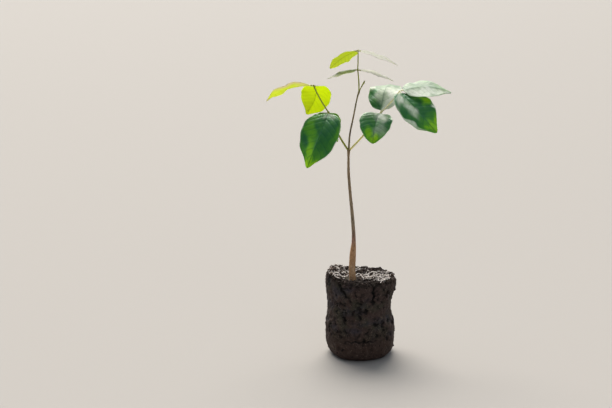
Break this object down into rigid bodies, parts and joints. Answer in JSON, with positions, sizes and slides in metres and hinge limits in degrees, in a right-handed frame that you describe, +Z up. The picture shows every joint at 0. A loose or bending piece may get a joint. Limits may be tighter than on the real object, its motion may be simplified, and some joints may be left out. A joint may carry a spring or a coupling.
{
  "type": "sapling with root ball",
  "caption": "Young tree with a slender leaning stem, glossy compound leaves and a short bud shoot, standing on a bare, bag-shaped root ball of dark soil.",
  "frame": {"origin": "centre of the root ball's flat underside", "axes": "+Z up along the stem, +X to the right of the front view, +Y to the back"},
  "size_m": [0.2177, 0.1026, 0.3711],
  "materials": {
    "soil": "compacted moist growing mix with fibres and paler dry crumbs",
    "bark": "smooth young bark, orange-brown at the foot and grey-brown above",
    "leaf_stalk": "smooth olive-green stalk",
    "leaf": "glossy dark green upper face, paler matte underside",
    "young_leaf": "glossy upper face, yellow-green where light comes through"
  },
  "bodies": {
    "root": {"root_ball": "soil", "stem": "bark", "leader": "bark", "left_leaf_stalk": "leaf_stalk", "right_leaf_stalk": "leaf_stalk", "top_leaf_stalk": "leaf_stalk", "bud_shoot": "leaf_stalk", "left_outer": "leaf", "left_far": "leaf", "left_near": "leaf", "left_hidden": "leaf", "right_outer": "leaf", "right_near": "leaf", "right_far": "leaf", "right_down": "leaf", "top_left": "young_leaf", "top_right": "young_leaf", "top_low_left": "young_leaf", "top_low_right": "young_leaf"}
  },
  "joints": []
}
